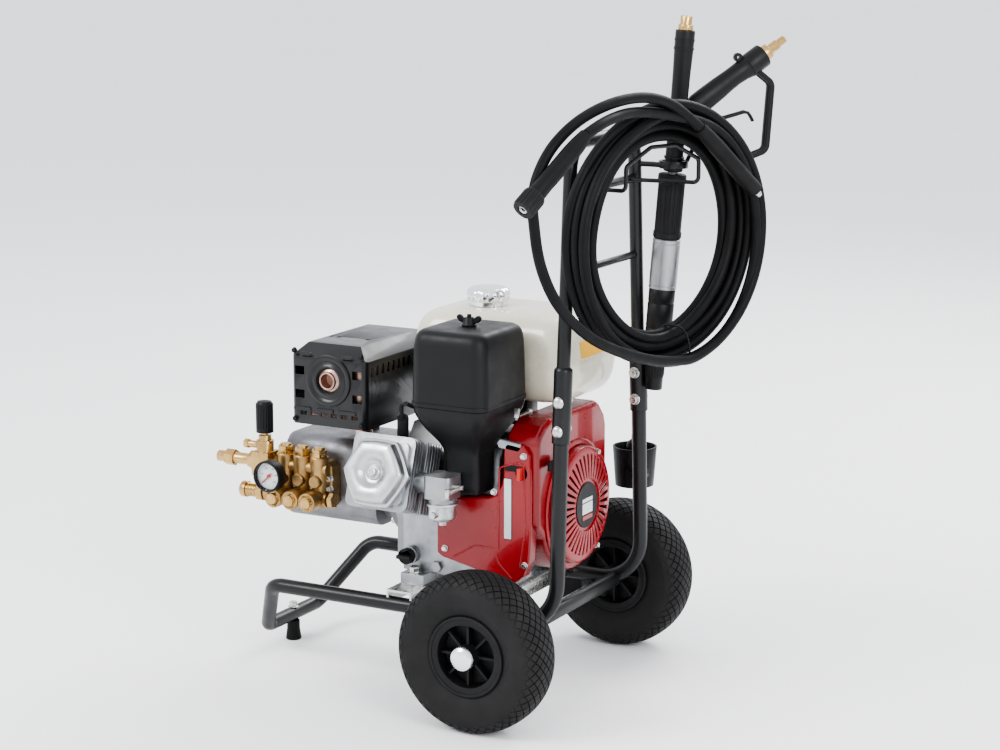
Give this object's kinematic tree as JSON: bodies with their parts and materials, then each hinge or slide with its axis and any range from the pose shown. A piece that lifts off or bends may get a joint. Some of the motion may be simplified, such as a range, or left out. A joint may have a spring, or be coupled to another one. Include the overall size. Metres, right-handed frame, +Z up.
{
  "type": "pressure washer",
  "caption": "Petrol pressure washer: recoil-start engine and brass plunger pump on a tubular trolley with tyres, coiled hose, lance and trigger gun.",
  "frame": {"origin": "on the ground below the middle of the machine", "axes": "+X from the pump to the operator, +Z up, the cylinder head side faces -Y"},
  "size_m": [0.8878, 0.683, 1.1137],
  "materials": {
    "black_paint": "satin powder coat",
    "zinc": "zinc plated",
    "chrome": "polished",
    "rubber": "matte",
    "tyre": "matte",
    "black_plastic": "fine grain",
    "cast_alloy": "cast",
    "exhaust_steel": "heat tinted",
    "tank_cream": "gloss",
    "red_paint": "gloss",
    "red_plastic": "gloss",
    "steel": "machined",
    "brass": "machined"
  },
  "bodies": {
    "frame": {"near_side_tube": "black_paint", "far_side_tube": "black_paint", "foot_bar": "black_paint", "rear_cross_tube": "black_paint", "engine_plates": "zinc", "joint_sleeves": "black_paint", "handle_tube": "black_paint", "handle_cross_bars": "black_paint", "hose_hanger": "black_paint", "lance_ring": "black_paint", "frame_bolts": "zinc", "axle": "zinc", "axle_lugs": "black_paint", "hub_caps": "chrome", "rubber_foot": "rubber", "strainer_cup": "black_plastic", "detergent_strainer": "black_plastic", "crankcase": "cast_alloy", "oil_cap": "black_plastic", "barrel": "cast_alloy", "cylinder_head": "cast_alloy", "valve_cover": "cast_alloy", "plug_cap": "rubber", "muffler": "exhaust_steel", "heat_shield": "black_paint", "carburettor": "cast_alloy", "float_bowl": "cast_alloy", "air_cleaner_case": "black_plastic", "air_cleaner_cover": "black_plastic", "fuel_tank": "tank_cream", "tank_brackets": "black_paint", "fan_shroud": "red_paint", "recoil_cover": "red_paint", "pump_body": "cast_alloy", "pump_manifold": "brass", "pump_caps": "brass", "unloader": "brass", "gauge": "black_plastic", "gun_body": "black_plastic", "lance": "black_plastic", "lance_nozzle": "black_plastic", "spray_fittings": "brass", "hose_coil": "rubber", "hose_loop": "rubber", "hose_ends": "rubber"},
    "near_wheel": {"near_tyre": "tyre", "near_rim": "black_plastic"},
    "far_wheel": {"far_tyre": "tyre", "far_rim": "black_plastic"},
    "trigger": {"gun_trigger": "black_plastic"},
    "regulator_knob": {"unloader_knob": "black_plastic"},
    "tank_cap": {"fuel_cap": "chrome"},
    "filter_nut": {"wing_nut": "black_plastic"},
    "needle": {"gauge_needle": "red_plastic"},
    "throttle": {"throttle_lever": "zinc"},
    "choke": {"choke_lever": "zinc"},
    "switch": {"engine_switch": "red_plastic"},
    "starter_handle": {"starter_grip": "black_plastic"},
    "crank": {"crankshaft": "steel"},
    "collar": {"lance_collar": "black_plastic"}
  },
  "joints": [
    {"name": "near_wheel_spin", "type": "hinge", "parent": "frame", "child": "near_wheel", "pos_m": [0.156, -0.264, 0.13], "axis": [0, 1, 0], "continuous": true},
    {"name": "far_wheel_spin", "type": "hinge", "parent": "frame", "child": "far_wheel", "pos_m": [0.156, 0.264, 0.13], "axis": [0, 1, 0], "continuous": true},
    {"name": "trigger_pull", "type": "hinge", "parent": "frame", "child": "trigger", "pos_m": [0.34406, 0.17383, 0.94], "axis": [-0.7431, 0.6691, 0], "range_deg": [0, 14], "stiffness_Nm_per_rad": 0.5},
    {"name": "regulator_turn", "type": "hinge", "parent": "frame", "child": "regulator_knob", "pos_m": [-0.348, -0.102, 0.425], "axis": [0, 0, 1], "range_deg": [-360, 360]},
    {"name": "tank_cap_turn", "type": "hinge", "parent": "frame", "child": "tank_cap", "pos_m": [0.007, 0.05, 0.64], "axis": [0, 0, 1], "range_deg": [0, 100]},
    {"name": "filter_nut_turn", "type": "hinge", "parent": "frame", "child": "filter_nut", "pos_m": [0.068, -0.126, 0.63], "axis": [0, 0, 1], "range_deg": [0, 360]},
    {"name": "needle_swing", "type": "hinge", "parent": "frame", "child": "needle", "pos_m": [-0.306, -0.154, 0.338], "axis": [0, 1, 0], "range_deg": [0, 270], "stiffness_Nm_per_rad": 0.002},
    {"name": "throttle_swing", "type": "hinge", "parent": "frame", "child": "throttle", "pos_m": [0.149, -0.07, 0.478], "axis": [0, 0, 1], "range_deg": [0, 20]},
    {"name": "choke_swing", "type": "hinge", "parent": "frame", "child": "choke", "pos_m": [0.083, -0.19, 0.372], "axis": [1, 0, 0], "range_deg": [-25, 25]},
    {"name": "switch_turn", "type": "hinge", "parent": "frame", "child": "switch", "pos_m": [0.167, -0.124, 0.392], "axis": [0, 1, 0], "range_deg": [0, 60]},
    {"name": "starter_pull", "type": "slide", "parent": "frame", "child": "starter_handle", "axis": [1, 0, 0], "range_m": [0, 0.25], "stiffness_N_per_m": 20},
    {"name": "crank_spin", "type": "hinge", "parent": "frame", "child": "crank", "pos_m": [0.021, 0.008, 0.315], "axis": [1, 0, 0], "continuous": true},
    {"name": "collar_turn", "type": "hinge", "parent": "frame", "child": "collar", "pos_m": [0.29946, 0.136, 0.803], "axis": [0.0821, 0, 0.9966], "range_deg": [0, 180]}
  ]
}
